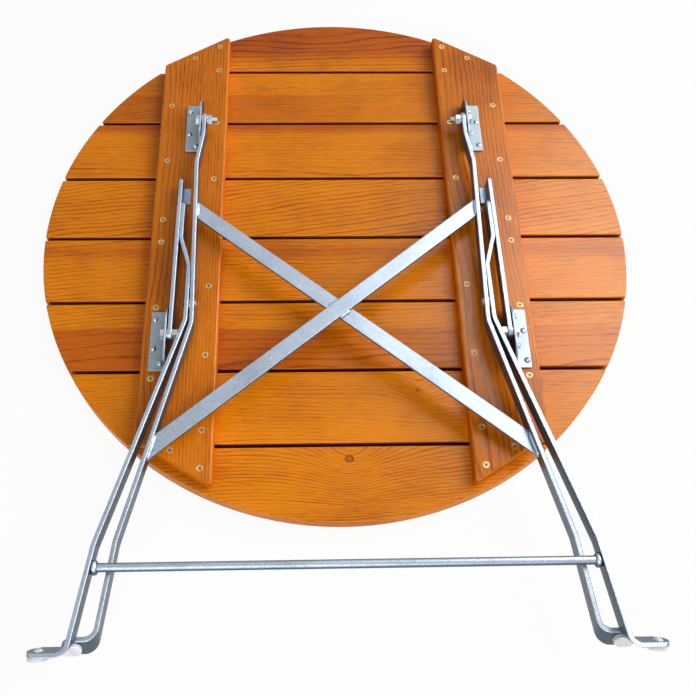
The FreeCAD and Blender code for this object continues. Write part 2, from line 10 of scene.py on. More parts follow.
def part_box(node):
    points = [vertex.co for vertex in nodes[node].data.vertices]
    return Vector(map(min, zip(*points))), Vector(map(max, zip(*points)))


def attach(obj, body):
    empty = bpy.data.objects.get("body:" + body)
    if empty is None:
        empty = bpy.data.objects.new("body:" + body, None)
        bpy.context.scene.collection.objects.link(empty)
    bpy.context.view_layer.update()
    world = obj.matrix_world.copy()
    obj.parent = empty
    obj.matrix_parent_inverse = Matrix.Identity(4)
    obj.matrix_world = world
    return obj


bl_info = {
    "name": "Folding Garden Table",
    "version": (1, 0, 0),
    "blender": (4, 5, 0),
    "location": "3D View > Sidebar > Garden Table",
    "description": "Oiled boards, galvanised frame and welds for a round folding garden table",
    "category": "Object",
}

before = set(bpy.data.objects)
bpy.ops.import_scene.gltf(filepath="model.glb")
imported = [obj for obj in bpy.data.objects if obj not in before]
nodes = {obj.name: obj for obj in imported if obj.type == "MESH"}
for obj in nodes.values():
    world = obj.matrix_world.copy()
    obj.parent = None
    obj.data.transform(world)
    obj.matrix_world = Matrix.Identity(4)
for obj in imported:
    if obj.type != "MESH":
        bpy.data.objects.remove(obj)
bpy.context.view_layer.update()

BRACKETS = sorted(name for name in nodes if name.startswith("bracket_") and name != "bracket_screws")
LEGS = sorted(name for name in nodes if name.startswith(("inner_leg", "outer_leg")))
BRACES = ["cross_brace_over", "cross_brace_under"]
LINKS = ["link_left", "link_right", "stop_tab_left", "stop_tab_right"]
GLIDES = sorted(name for name in nodes if "_glide_" in name)
PIVOT_HARDWARE = sorted(
    name for name in nodes
    if name.startswith(("upper_pivot", "lower_pivot", "centre_", "outer_rivets", "link_rivet"))
)
BATTEN_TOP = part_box("batten_left")[1][2]
TOP_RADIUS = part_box("slat_4")[1][0]


class Grain(NamedTuple):
    """How one board was sawn.

    ring, pith and drift are in metres, and slant is how far the rings lean along the board. heart gives
    the edges of the heartwood as parts of the board's width from its middle, heart_blur how softly they
    end, heart_left and heart_right how far the heartwood shows at the two ends. tone darkens the whole
    board. knot is its place along the board, its place across it and its radius.
    """

    ring: float
    contrast: float
    slant: float
    pith: float
    heart: tuple = (2.0, 3.0)
    heart_blur: float = 0.05
    heart_left: float = 1.0
    heart_right: float = 1.0
    tone: float = 0.0
    drift: float = 0.034
    knot: tuple = ()


class Figure(NamedTuple):
    """Noise drawn out along the grain: length and breadth of its features in metres, and its detail."""

    length: float
    breadth: float
    detail: float


BOARD_GRAIN = {
    "slat_1": Grain(0.0038, 0.80, 0.012, 0.110, tone=0.02, knot=(0.008, 0.031, 0.0045)),
    "slat_2": Grain(0.0040, 0.55, 0.016, 0.120, knot=(0.098, 0.022, 0.0022)),
    "slat_3": Grain(0.0052, 0.70, -0.030, -0.075, (-0.7, 0.10), 0.04, 0.9, 0.45, tone=-0.01),
    "slat_4": Grain(0.0046, 0.62, 0.020, 0.100, (0.26, 0.36), 0.14, tone=-0.03),
    "slat_5": Grain(0.0052, 0.90, -0.110, -0.100, tone=-0.02),
    "slat_6": Grain(0.0046, 0.55, 0.018, -0.095, (0.36, 0.8), 0.09),
    "slat_7": Grain(0.0042, 0.55, 0.010, 0.130, (-0.7, 0.04), 0.02, 0.6, 0.05),
    "slat_8": Grain(0.0060, 0.85, 0.040, 0.060, (-0.25, 0.7), 0.2, tone=0.08),
}
BATTEN_GRAIN = {
    "batten_left": Grain(0.0034, 0.75, 0.006, -0.080, tone=-0.06, drift=0.018),
    "batten_right": Grain(0.0036, 0.80, 0.010, -0.062, tone=0.04, drift=0.02),
}

WANDER = Figure(0.34, 0.10, 2.0)
FIBRE = Figure(0.022, 0.0012, 3.0)
STREAK = Figure(0.26, 0.006, 3.0)
CLOUD = Figure(0.12, 0.08, 2.0)
BOARD_STEP = 40.0

# How far each figure darkens the wood
LINE_DARK = 1.1
STREAK_DARK = 0.5
FIBRE_DARK = 2.0
CLOUD_DARK = 1.3
MEAN_DARK = 0.135

# Growth rings: depth of the pith, and where in a year its dark line starts and peaks
PITH_DEPTH = 0.05
LINE_START = 0.56
LINE_PEAK = 0.92
FAINTEST_YEAR = 0.35

# Reach of a knot in radii, and how far it pushes the rings aside
KNOT_ALONG = 9
KNOT_ACROSS = 13
KNOT_PUSH = 6

# Heartwood: how much it follows the wander, and where along a board it changes
HEART_WANDER = 0.16
HEART_FADE = (-0.12, 0.16)

# Where the painted shade on the boards' sides in the gaps gives way to the open rim
GAP_END = TOP_RADIUS - 0.006
RIM_START = TOP_RADIUS - 0.002
SIDE_MIRROR = 0.02

# Brightness of the zinc's parts against its colour; the side part is painted shade on upright faces, the edge
# part a painted highlight
ZINC_DULL = 0.74
ZINC_BRIGHT = 1.14
ZINC_SHADED_SIDE = 0.24
ZINC_EDGE_HIGHLIGHT = 1.6
WELD_BRIGHT = 1.4
BAR_EDGE_RADIUS = 0.0021
BOLT_EDGE_RADIUS = 0.0005
# Painted shade in the screws' cross recesses, fading out between these heights
RECESS_SHADE = (0.02, 0.012, 0.006, 1.0)
RECESS_FLOOR = BATTEN_TOP - 0.0012
RECESS_RIM = BATTEN_TOP - 0.0004

# Bolt threads: points, steepness of the flanks, and where the thread starts
THREAD_POINTS = 48
THREAD_ROWS = 12
THREAD_FLANK = 2.6
THREAD_LEAD = 12
THREAD_INSET = 0.0003
THREAD_HIDDEN = 0.0001
THREAD_ROOT = 0.00012
SAME_PLACE = 1e-5

# Welds: waves along a bead as size, pace and start, and how it lies in its corner
RIPPLES = ((0.14, 2.1, 0.0), (0.07, 5.3, 1.0))
END_ROUNDING = 0.35
FEWEST_RIPPLES = 5
FEWEST_ROUND_RIPPLES = 12
CORNER_LEAN = 0.6
CORNER_RISE = 0.8
CROSSING_RUN = 2.2
SAME_LEVEL = 0.0002
BRACE_END = 0.012

# Floor: how white it is near the table, and where it turns wholly white
FLOOR_SIZE = 6.0
FLOOR_DROP = 0.0003
FLOOR_GLOW = 0.93
FLOOR_FADE = (1.2, 2.4)
FLOOR_COVERED = TOP_RADIUS - 0.02
FLOOR_OPEN = TOP_RADIUS - 0.004
WHITE = (1.0, 1.0, 1.0, 1.0)

# The photograph's camera in pixels
PICTURE_WIDTH = 696
FOCAL_PIXELS = 926.9
CENTRE_X = 328.79
CENTRE_Y = 310.47


# Settings

class WoodFinish(PropertyGroup):
    """Colours and sheen of the oiled wood."""

    board_early: FloatVectorProperty(
        name="Board early wood", description="Pale part of a board's growth rings",
        subtype="COLOR", size=3, min=0.0, max=1.0, default=(0.86, 0.256, 0.003),
    )
    board_late: FloatVectorProperty(
        name="Board late wood", description="Dark line at the end of a board's growth rings",
        subtype="COLOR", size=3, min=0.0, max=1.0, default=(0.39, 0.082, 0.002),
    )
    heart_early: FloatVectorProperty(
        name="Heart early wood", description="Pale part of the rings in a board's heartwood",
        subtype="COLOR", size=3, min=0.0, max=1.0, default=(0.58, 0.122, 0.003),
    )
    heart_late: FloatVectorProperty(
        name="Heart late wood", description="Dark line of the rings in a board's heartwood",
        subtype="COLOR", size=3, min=0.0, max=1.0, default=(0.27, 0.037, 0.002),
    )
    batten_early: FloatVectorProperty(
        name="Batten early wood", description="Pale part of a batten's growth rings",
        subtype="COLOR", size=3, min=0.0, max=1.0, default=(0.73, 0.198, 0.006),
    )
    batten_late: FloatVectorProperty(
        name="Batten late wood", description="Dark line at the end of a batten's growth rings",
        subtype="COLOR", size=3, min=0.0, max=1.0, default=(0.32, 0.060, 0.003),
    )
    # The knot colour is also the painted shade on the boards' sides in the gaps
    knot: FloatVectorProperty(
        name="Knots", description="Heart of the knots",
        subtype="COLOR", size=3, min=0.0, max=1.0, default=(0.17, 0.026, 0.003),
    )
    sheen: FloatProperty(
        name="Oil roughness", description="Roughness of the oiled surface",
        default=0.27, min=0.05, max=1.0, subtype="FACTOR",
    )
    mirror: FloatProperty(
        name="Oil mirror", description="Specular level of the boards' level faces",
        default=0.19, min=0.0, max=1.0, subtype="FACTOR",
    )


class MetalFinish(PropertyGroup):
    """Colours and sizes of the zinc, brass and plastic."""

    galvanised: FloatVectorProperty(
        name="Galvanised steel", description="Hot-dip zinc of the bars",
        subtype="COLOR", size=3, min=0.0, max=1.0, default=(0.305, 0.360, 0.438),
    )
    bracket: FloatVectorProperty(
        name="Brackets", description="Duller hot-dip zinc of the stamped brackets",
        subtype="COLOR", size=3, min=0.0, max=1.0, default=(0.235, 0.285, 0.325),
    )
    plated: FloatVectorProperty(
        name="Zinc plate", description="Bright zinc of bolts, nuts, rivets and bracket screws",
        subtype="COLOR", size=3, min=0.0, max=1.0, default=(0.50, 0.51, 0.53),
    )
    brass: FloatVectorProperty(
        name="Yellow screws", description="Heads of the batten screws",
        subtype="COLOR", size=3, min=0.0, max=1.0, default=(0.80, 0.50, 0.20),
    )
    glide: FloatVectorProperty(
        name="Glides", description="Plastic of the foot glides",
        subtype="COLOR", size=3, min=0.0, max=1.0, default=(0.80, 0.81, 0.85),
    )
    spangle: FloatProperty(
        name="Spangle", description="Size of the zinc crystals",
        default=0.0016, min=0.0005, max=0.05, unit="LENGTH", subtype="DISTANCE",
    )
    bar_roughness: FloatProperty(
        name="Bar roughness", description="Roughness of the zinc on bars and welds",
        default=0.32, min=0.05, max=1.0, subtype="FACTOR",
    )
    bracket_roughness: FloatProperty(
        name="Bracket roughness", description="Roughness of the zinc on the stamped brackets",
        default=0.40, min=0.05, max=1.0, subtype="FACTOR",
    )


class ThreadSettings(PropertyGroup):
    """Thread on the bolt tips that stand out of the upper pivot nuts."""

    pitch: FloatProperty(
        name="Pitch", description="Distance from one turn of the thread to the next",
        default=0.00125, min=0.0002, max=0.01, unit="LENGTH", subtype="DISTANCE",
    )
    depth: FloatProperty(
        name="Depth", description="Height of the thread above its root",
        default=0.00045, min=0.0001, max=0.005, unit="LENGTH", subtype="DISTANCE",
    )


class WeldSettings(PropertyGroup):
    """Beads that join the cross brace and the foot rail to the legs."""

    bead: FloatProperty(
        name="Bead radius", description="Radius of a bead across its run",
        default=0.0036, min=0.0005, max=0.01, unit="LENGTH", subtype="DISTANCE",
    )
    ripple: FloatProperty(
        name="Ripple", description="Distance between the ripples of a bead",
        default=0.0034, min=0.0005, max=0.02, unit="LENGTH", subtype="DISTANCE",
    )
    around: IntProperty(
        name="Points around", description="Points around a bead",
        default=14, min=6, max=48, subtype="UNSIGNED",
    )


class StageSettings(PropertyGroup):
    """Camera, floor and lamps."""

    place: FloatVectorProperty(
        name="Camera place", description="Where the camera stands",
        subtype="TRANSLATION", unit="LENGTH", size=3, default=(-0.04678, -0.70520, 1.10044),
    )
    pitch: FloatProperty(
        name="Camera pitch", description="How far the camera looks down",
        default=math.radians(61.271), subtype="ANGLE", unit="ROTATION",
    )
    yaw: FloatProperty(
        name="Camera yaw", description="How far the camera looks to the right",
        default=math.radians(3.287), subtype="ANGLE", unit="ROTATION",
    )
    roll: FloatProperty(
        name="Camera roll", description="Roll about the line of sight",
        default=math.radians(2.434), subtype="ANGLE", unit="ROTATION",
    )
    focal: FloatProperty(
        name="Focal length", description="Focal length as a multiple of the picture's width",
        default=FOCAL_PIXELS / PICTURE_WIDTH, min=0.1, max=10.0, subtype="FACTOR",
    )
    shift_x: FloatProperty(
        name="Lens shift across", description="Shift of the picture to the side as a part of its width",
        default=(PICTURE_WIDTH / 2 - CENTRE_X) / PICTURE_WIDTH, min=-1.0, max=1.0, subtype="FACTOR",
    )
    shift_y: FloatProperty(
        name="Lens shift up", description="Shift of the picture up as a part of its width",
        default=(CENTRE_Y - PICTURE_WIDTH / 2) / PICTURE_WIDTH, min=-1.0, max=1.0, subtype="FACTOR",
    )
    key_place: FloatVectorProperty(
        name="Key place", description="Where the window-like lamp on the right stands",
        subtype="TRANSLATION", unit="LENGTH", size=3, default=(3.20, 1.00, 2.60),
    )
    key_aim: FloatVectorProperty(
        name="Key aim", description="Where the lamp on the right points",
        subtype="TRANSLATION", unit="LENGTH", size=3, default=(0.0, 0.0, 0.0),
    )
    key_power: FloatProperty(
        name="Key power", description="Power of the lamp on the right",
        default=204.0, min=0.0, unit="POWER",
    )
    key_size: FloatProperty(
        name="Key size", description="Side of the lamp on the right",
        default=4.0, min=0.01, unit="LENGTH", subtype="DISTANCE",
    )
    sheen_place: FloatVectorProperty(
        name="Sheen place", description="Where the lamp stands that the boards mirror on the right",
        subtype="TRANSLATION", unit="LENGTH", size=3, default=(1.55, 1.42, 2.60),
    )
    sheen_aim: FloatVectorProperty(
        name="Sheen aim", description="Where the mirrored lamp points",
        subtype="TRANSLATION", unit="LENGTH", size=3, default=(0.2, 0.0, 0.0),
    )
    sheen_power: FloatProperty(
        name="Sheen power", description="Power of the mirrored lamp",
        default=78.0, min=0.0, unit="POWER",
    )
    sheen_size: FloatProperty(
        name="Sheen size", description="Side of the mirrored lamp",
        default=1.7, min=0.01, unit="LENGTH", subtype="DISTANCE",
    )
    fill_place: FloatVectorProperty(
        name="Fill place", description="Where the broad lamp on the camera's side stands",
        subtype="TRANSLATION", unit="LENGTH", size=3, default=(-0.35, -1.75, 1.25),
    )
    fill_aim: FloatVectorProperty(
        name="Fill aim", description="Where the lamp on the camera's side points",
        subtype="TRANSLATION", unit="LENGTH", size=3, default=(0.0, -0.1, 0.0),
    )
    fill_power: FloatProperty(
        name="Fill power", description="Power of the lamp on the camera's side",
        default=23.0, min=0.0, unit="POWER",
    )
    fill_size: FloatProperty(
        name="Fill size", description="Side of the lamp on the camera's side",
        default=1.4, min=0.01, unit="LENGTH", subtype="DISTANCE",
    )
    sky: FloatProperty(
        name="Room light", description="Light from all around",
        default=0.05, min=0.0, max=4.0, subtype="FACTOR",
    )


class GardenTableSettings(PropertyGroup):
    """All settings of the table."""

    wood: PointerProperty(name="Wood", description="Oiled boards and battens", type=WoodFinish)
    metal: PointerProperty(name="Metal", description="Zinc, screws and glides", type=MetalFinish)
    thread: PointerProperty(name="Thread", description="Thread on the upper bolts", type=ThreadSettings)
    welds: PointerProperty(name="Welds", description="Weld beads of the frames", type=WeldSettings)
    stage: PointerProperty(name="Stage", description="Camera, floor and lamps", type=StageSettings)


# Node trees

class Tree:
    """Adds shader nodes to a new material and joins them."""

    def __init__(self, name):
        self.material = bpy.data.materials.new(name)
        self.material.use_nodes = True
        self.tree = self.material.node_tree
        self.shader = next(n for n in self.tree.nodes if n.type == "BSDF_PRINCIPLED")

    def add(self, kind, inputs=None, **settings):
        node = self.tree.nodes.new(kind)
        for key, value in settings.items():
            setattr(node, key, value)
        for key, value in (inputs or {}).items():
            self.put(value, node.inputs[key])
        return node

    def put(self, value, socket):
        """Links a socket to another one, or sets it to a constant."""
        if isinstance(value, bpy.types.NodeSocket):
            self.tree.links.new(value, socket)
        else:
            socket.default_value = value

    def math(self, operation, *values):
        return self.add("ShaderNodeMath", dict(enumerate(values)), operation=operation).outputs[0]

    def plus(self, first, *others):
        for other in others:
            first = self.math("ADD", first, other)
        return first

    def times(self, first, *others):
        for other in others:
            first = self.math("MULTIPLY", first, other)
        return first

    def smooth(self, value, low, high, to_low=0.0, to_high=1.0):
        """Eased step from one value to another."""
        inputs = {0: value, 1: low, 2: high, 3: to_low, 4: to_high}
        node = self.add("ShaderNodeMapRange", inputs, interpolation_type="SMOOTHSTEP")
        return node.outputs[0]

    def vector(self, x, y, z):
        return self.add("ShaderNodeCombineXYZ", {0: x, 1: y, 2: z}).outputs[0]

    def noise(self, vector, scale, detail, roughness=0.5):
        inputs = {"Vector": vector, "Scale": scale, "Detail": detail, "Roughness": roughness}
        return self.add("ShaderNodeTexNoise", inputs).outputs[0]

    def mix(self, factor, a, b):
        """Blends two colours."""
        return self.add("ShaderNodeMix", {0: factor, 6: a, 7: b}, data_type="RGBA").outputs[2]

    def bump(self, height, strength, distance, normal=None):
        node = self.add("ShaderNodeBump", {"Height": height, "Strength": strength, "Distance": distance})
        if normal is not None:
            self.put(normal, node.inputs["Normal"])
        return node.outputs[0]

    def shade(self, **values):
        """Sets or links the main shader's sockets by name."""
        for key, value in values.items():
            self.put(value, self.shader.inputs[key.replace("_", " ")])


def scaled(colour, factor, lift=0.0):
    """A colour made darker or brighter."""
    return tuple(min(1.0, factor * c + lift) for c in colour)


def rgba(colour):
    return (*colour, 1.0)


# Materials

def wood(name, grain, colours, settings, middle, width, along_axis, paints_gap_shade):
    """Oiled softwood as one board was sawn: growth rings about a pith, heartwood, fibres and a knot."""
    t = Tree(name)
    early, late, heart_early, heart_late, knot_and_gap_shade = (rgba(colour) for colour in colours)
    place = t.add("ShaderNodeTexCoord")
    axes = t.add("ShaderNodeSeparateXYZ", {0: place.outputs["Object"]}).outputs
    along = axes[along_axis]
    across = t.math("SUBTRACT", axes[1 - along_axis], middle)
    height = axes[2]

    def drawn_out(figure):
        """Noise about zero in the shape of the figure."""
        deep = t.plus(t.math("DIVIDE", height, figure.breadth), BOARD_STEP * middle)
        far = t.math("DIVIDE", along, figure.length)
        spot = t.vector(far, t.math("DIVIDE", across, figure.breadth), deep)
        return t.math("SUBTRACT", t.noise(spot, 1.0, figure.detail), 0.5)

    wander = drawn_out(WANDER)
    fibre = drawn_out(FIBRE)
    streak = drawn_out(STREAK)
    cloud = drawn_out(CLOUD)

    # Growth rings, pushed aside by the knot
    side = t.math("SUBTRACT", across, grain.pith)
    deep = t.plus(height, PITH_DEPTH)
    reach = t.math("SQRT", t.plus(t.times(side, side), t.times(deep, deep)))
    reach = t.plus(reach, t.times(along, grain.slant), t.times(wander, grain.drift))
    core = None
    if grain.knot:
        knot_along, knot_across, radius = grain.knot
        du = t.math("SUBTRACT", along, knot_along)
        dv = t.math("SUBTRACT", across, knot_across)
        far_along = t.times(du, du, (KNOT_ALONG * radius) ** -2)
        far_across = t.times(dv, dv, (KNOT_ACROSS * radius) ** -2)
        push = t.math("DIVIDE", KNOT_PUSH * radius, t.plus(1.0, far_along, far_across))
        reach = t.math("SUBTRACT", reach, push)
        away = t.math("SQRT", t.plus(t.times(du, du, 0.6), t.times(dv, dv)))
        core = t.smooth(away, 0.35 * radius, 0.8 * radius, 0.35, 0.9)
        core = t.times(core, t.smooth(away, 0.8 * radius, 1.15 * radius, 1.0, 0.0))
    rings = t.math("DIVIDE", reach, grain.ring)
    years = t.add("ShaderNodeTexWhiteNoise", {"W": t.math("FLOOR", rings)}, noise_dimensions="1D")
    strength = t.plus(FAINTEST_YEAR, t.times(years.outputs["Value"], 1.0 - FAINTEST_YEAR))
    turn = t.math("FRACT", rings)
    line = t.times(t.smooth(turn, LINE_START, LINE_PEAK), t.smooth(turn, LINE_PEAK, 1.0, 1.0, 0.0))
    line = t.times(line, strength)

    # Heartwood along one part of the board
    edge = t.plus(t.math("DIVIDE", across, width), t.times(wander, HEART_WANDER))
    low, high = grain.heart
    blur = grain.heart_blur
    heart = t.smooth(edge, low - blur, low + blur)
    heart = t.times(heart, t.smooth(edge, high - blur, high + blur, 1.0, 0.0))
    heart = t.times(heart, t.smooth(along, *HEART_FADE, grain.heart_left, grain.heart_right))
    dark = t.plus(t.times(line, LINE_DARK * grain.contrast), t.times(streak, STREAK_DARK))
    dark = t.plus(dark, t.times(fibre, FIBRE_DARK), t.times(cloud, CLOUD_DARK), MEAN_DARK + grain.tone)
    dark = t.math("MAXIMUM", t.math("MINIMUM", dark, 1.0), 0.0)
    colour = t.mix(dark, t.mix(heart, early, heart_early), t.mix(heart, late, heart_late))
    if core is not None:
        colour = t.mix(core, colour, knot_and_gap_shade)

    # Painted highlight on the rounded edges, and painted shade on the boards' sides in the gaps
    facing = t.add("ShaderNodeSeparateXYZ", {0: place.outputs["Normal"]}).outputs[2]
    up = t.math("ABSOLUTE", facing)
    painted_edge_highlight = t.times(up, t.math("SUBTRACT", 1.0, up), 1.4)
    colour = t.mix(painted_edge_highlight, colour, rgba(scaled(colours[0], 1.2, 0.004)))
    if paints_gap_shade:
        out = t.math("SQRT", t.plus(t.times(axes[0], axes[0]), t.times(axes[1], axes[1])))
        # Painted shade on the boards' sides inside the gaps, in the knot colour
        shaded_gap_side = t.times(t.smooth(out, GAP_END, RIM_START, 0.9, 0.0), t.smooth(up, 0.0, 0.6, 1.0, 0.0))
        colour = t.mix(shaded_gap_side, colour, knot_and_gap_shade)

    gloss = t.plus(t.times(line, -0.06), t.times(fibre, 0.25), settings.sheen)
    mirror = t.smooth(up, 0.2, 0.8, SIDE_MIRROR, settings.mirror)
    relief = t.plus(t.times(fibre, 0.8), t.times(line, -0.35))
    normal = t.bump(relief, 0.35, 0.0004)
    t.shade(Base_Color=colour, Roughness=gloss, Specular_IOR_Level=mirror, Normal=normal)
    return t.material


def galvanised(name, colour, spangle, dullness):
    """Hot-dip zinc: fine spangle and faint clouds, with a painted highlight on the edges and painted shade on
    the upright sides.
    """
    t = Tree(name)
    place = t.add("ShaderNodeTexCoord")
    spot = place.outputs["Object"]
    crystals = t.add("ShaderNodeTexVoronoi", {"Vector": spot, "Scale": 1.0 / spangle})
    shine = t.add("ShaderNodeSeparateColor", {0: crystals.outputs["Color"]}).outputs[0]
    cloud = t.noise(spot, 14.0, 2.0)
    runs = t.noise(spot, 170.0, 3.0, 0.6)
    level = t.plus(t.times(shine, 0.22), t.times(cloud, 0.58), t.times(runs, 0.2))
    dull = rgba(scaled(colour, ZINC_DULL))
    bright = rgba(scaled(colour, ZINC_BRIGHT, 0.02))
    tone = t.mix(t.smooth(level, 0.2, 0.8), dull, bright)
    # Painted shade on the upright faces, which leaves the level faces brighter
    facing = t.add("ShaderNodeSeparateXYZ", {0: place.outputs["Normal"]}).outputs[2]
    painted_side_shade = t.smooth(t.math("ABSOLUTE", facing), 0.45, 0.85, 0.9, 0.0)
    tone = t.mix(painted_side_shade, tone, rgba(scaled(colour, ZINC_SHADED_SIDE)))
    rounded = t.add("ShaderNodeBevel", {"Radius": BAR_EDGE_RADIUS}, samples=4).outputs[0]
    flat = t.add("ShaderNodeNewGeometry").outputs["True Normal"]
    turn = t.add("ShaderNodeVectorMath", {0: rounded, 1: flat}, operation="DOT_PRODUCT").outputs["Value"]
    # Painted highlight along the rounded edges
    painted_edge_glint = t.smooth(turn, 0.92, 0.998, 0.9, 0.0)
    tone = t.mix(painted_edge_glint, tone, rgba(scaled(colour, ZINC_EDGE_HIGHLIGHT)))
    gloss = t.plus(t.times(shine, -0.06), t.times(runs, 0.16), dullness)
    relief = t.plus(t.times(runs, 0.5), t.times(cloud, 0.5), t.times(shine, 0.02))
    normal = t.bump(relief, 0.25, 0.0005, rounded)
    t.shade(Base_Color=tone, Metallic=0.75, Roughness=gloss, Normal=normal)
    return t.material


def plated(name, colour):
    """Bright zinc plate, scuffed and clouded."""
    t = Tree(name)
    place = t.add("ShaderNodeTexCoord").outputs["Object"]
    scuff = t.noise(place, 420.0, 4.0, 0.6)
    cloud = t.noise(place, 70.0, 2.0)
    tone = t.mix(t.smooth(cloud, 0.3, 0.7, 0.0, 0.8), rgba(colour), rgba(scaled(colour, 0.6)))
    gloss = t.plus(t.times(scuff, 0.25), 0.18)
    rounded = t.add("ShaderNodeBevel", {"Radius": BOLT_EDGE_RADIUS}, samples=4).outputs[0]
    t.shade(Base_Color=tone, Metallic=1.0, Roughness=gloss, Normal=t.bump(scuff, 0.12, 0.0004, rounded))
    return t.material


def yellow_screw(name, colour):
    """Yellow passivated screw head, with painted shade in its recess."""
    t = Tree(name)
    place = t.add("ShaderNodeTexCoord").outputs["Object"]
    height = t.add("ShaderNodeSeparateXYZ", {0: place}).outputs[2]
    stain = t.noise(place, 300.0, 3.0, 0.6)
    # Painted shade in the cross recess, darkest at its floor
    deep = t.smooth(height, RECESS_FLOOR, RECESS_RIM, 1.0, 0.0)
    tone = t.mix(t.smooth(stain, 0.35, 0.7), rgba(colour), rgba(scaled(colour, 0.5)))
    tone = t.mix(deep, tone, RECESS_SHADE)
    gloss = t.plus(t.times(stain, 0.3), 0.3)
    t.shade(Base_Color=tone, Metallic=0.25, Roughness=gloss, Normal=t.bump(stain, 0.25, 0.0003))
    return t.material


def moulded_plastic(name, colour):
    """Off-white plastic with scuffs and a little dirt."""
    t = Tree(name)
    place = t.add("ShaderNodeTexCoord").outputs["Object"]
    scuff = t.noise(place, 500.0, 4.0, 0.6)
    dirt = t.noise(place, 90.0, 3.0)
    tone = t.mix(t.smooth(dirt, 0.45, 0.75, 0.0, 0.7), rgba(colour), rgba(scaled(colour, 0.75)))
    gloss = t.plus(t.times(scuff, 0.25), 0.35)
    t.shade(Base_Color=tone, Roughness=gloss, Normal=t.bump(scuff, 0.2, 0.0003))
    return t.material


def finish(names, material):
    """Gives CAD nodes a material."""
    for name in names:
        for slot in nodes[name].material_slots:
            slot.material = material


def finish_wood(grains, settings, kind, along_axis):
    """Gives each board its own cut of the wood."""
    early = getattr(settings, f"{kind}_early")
    late = getattr(settings, f"{kind}_late")
    heart = (settings.heart_early, settings.heart_late) if kind == "board" else (late, scaled(late, 0.6))
    colours = [tuple(colour) for colour in (early, late, *heart, settings.knot)]
    for name, grain in grains.items():
        low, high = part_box(name)
        middle = (low[1 - along_axis] + high[1 - along_axis]) / 2
        width = high[1 - along_axis] - low[1 - along_axis]
        cut = wood(f"{name}_wood", grain, colours, settings, middle, width, along_axis, kind == "board")
        finish([name], cut)


# Meshes

def skin(mesh, rings, closed):
    """Faces between neighbouring rings of points, and over both ends of an open run."""
    pairs = list(zip(rings, rings[1:]))
    if closed:
        pairs.append((rings[-1], rings[0]))
    for near, far in pairs:
        for step in range(len(near)):
            after = (step + 1) % len(near)
            mesh.faces.new((near[step], near[after], far[after], far[step]))
    if not closed:
        mesh.faces.new(reversed(rings[0]))
        mesh.faces.new(rings[-1])
    bmesh.ops.recalc_face_normals(mesh, faces=mesh.faces)


def new_piece(name, mesh, material):
    """Makes an object of the scene from a mesh."""
    data = bpy.data.meshes.new(name)
    mesh.to_mesh(data)
    mesh.free()
    data.materials.append(material)
    piece = bpy.data.objects.new(name, data)
    bpy.context.scene.collection.objects.link(piece)
    return piece


def side_name(sign):
    return "right" if sign > 0 else "left"


# Bolt threads

def innermost(name):
    """How near a mirrored pair of pieces comes to the middle of the table."""
    return min(abs(vertex.co.x) for vertex in nodes[name].data.vertices)


def add_bolt_thread(sign, settings, material):
    """Screw thread round the end of an upper pivot bolt, from its tip to the nut."""
    tip = innermost("upper_pivot_bolts")
    nut = innermost("upper_pivot_nuts")
    low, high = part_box("upper_pivot_bolts")
    centre = Vector((0.0, (low[1] + high[1]) / 2, (low[2] + high[2]) / 2))
    places = [vertex.co for vertex in nodes["upper_pivot_bolts"].data.vertices]
    ends = [place for place in places if abs(place.x) < tip + SAME_PLACE]
    shank = max(math.hypot(end.y - centre.y, end.z - centre.z) for end in ends)
    rows = round(THREAD_ROWS * (nut - tip) / settings.pitch)
    mesh = bmesh.new()
    rings = []
    for row in range(rows + 1):
        part = row / rows
        x = tip + THREAD_INSET + part * (nut - tip - THREAD_INSET)
        lead = min(1.0, THREAD_LEAD * part)
        ring = []
        for step in range(THREAD_POINTS):
            angle = 2 * math.pi * step / THREAD_POINTS
            turn = (x / settings.pitch - step / THREAD_POINTS) % 1.0
            crest = min(1.0, THREAD_FLANK * min(turn, 1.0 - turn))
            radius = shank - THREAD_HIDDEN + lead * (THREAD_ROOT + settings.depth * crest)
            way = Vector((0.0, math.cos(angle), math.sin(angle)))
            ring.append(mesh.verts.new(centre + Vector((sign * x, 0.0, 0.0)) + way * radius))
        rings.append(ring)
    skin(mesh, rings, False)
    piece = new_piece(f"thread_upper_pivot_{side_name(sign)}", mesh, material)
    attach(piece, "tabletop")


# Weld beads

def add_bead(name, points, normals, settings, material, closed):
    """Rippled bead along a run of points; each ring lies across the run."""
    mesh = bmesh.new()
    rings = []
    count = len(points)
    for index, point in enumerate(points):
        ahead = points[(index + 1) % count if closed else min(index + 1, count - 1)]
        behind = points[(index - 1) % count if closed else max(index - 1, 0)]
        run = (ahead - behind).normalized()
        out = (normals[index] - run * normals[index].dot(run)).normalized()
        side = run.cross(out)
        ease = 1.0
        if not closed:
            ease = math.sin(math.pi * (index + 0.6) / (count + 0.2)) ** END_ROUNDING
        ripple = sum((size * math.sin(pace * index + start) for size, pace, start in RIPPLES), 1.0)
        swell = settings.bead * ease * ripple
        ring = []
        for step in range(settings.around):
            angle = 2 * math.pi * step / settings.around
            place = point + out * (swell * math.cos(angle)) + side * (swell * math.sin(angle))
            ring.append(mesh.verts.new(place))
        rings.append(ring)
    skin(mesh, rings, closed)
    piece = new_piece(name, mesh, material)
    for face in piece.data.polygons:
        face.use_smooth = True
    smooth = piece.modifiers.new("Rounding", "SUBSURF")
    smooth.levels = 1
    smooth.render_levels = 1
    return piece


def brace_end(name, sign, upper):
    """The two corners where the upper or the under face of a brace meets a leg."""
    low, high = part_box(name)
    level = high[2] if upper else low[2]
    reach = high[0] if sign > 0 else -low[0]
    corners = []
    for vertex in nodes[name].data.vertices:
        place = vertex.co
        if abs(place.z - level) < SAME_LEVEL and reach - sign * place.x < BRACE_END:
            corners.append(Vector(place))
    corners.sort(key=lambda corner: corner.y)
    return corners[0], corners[-1]


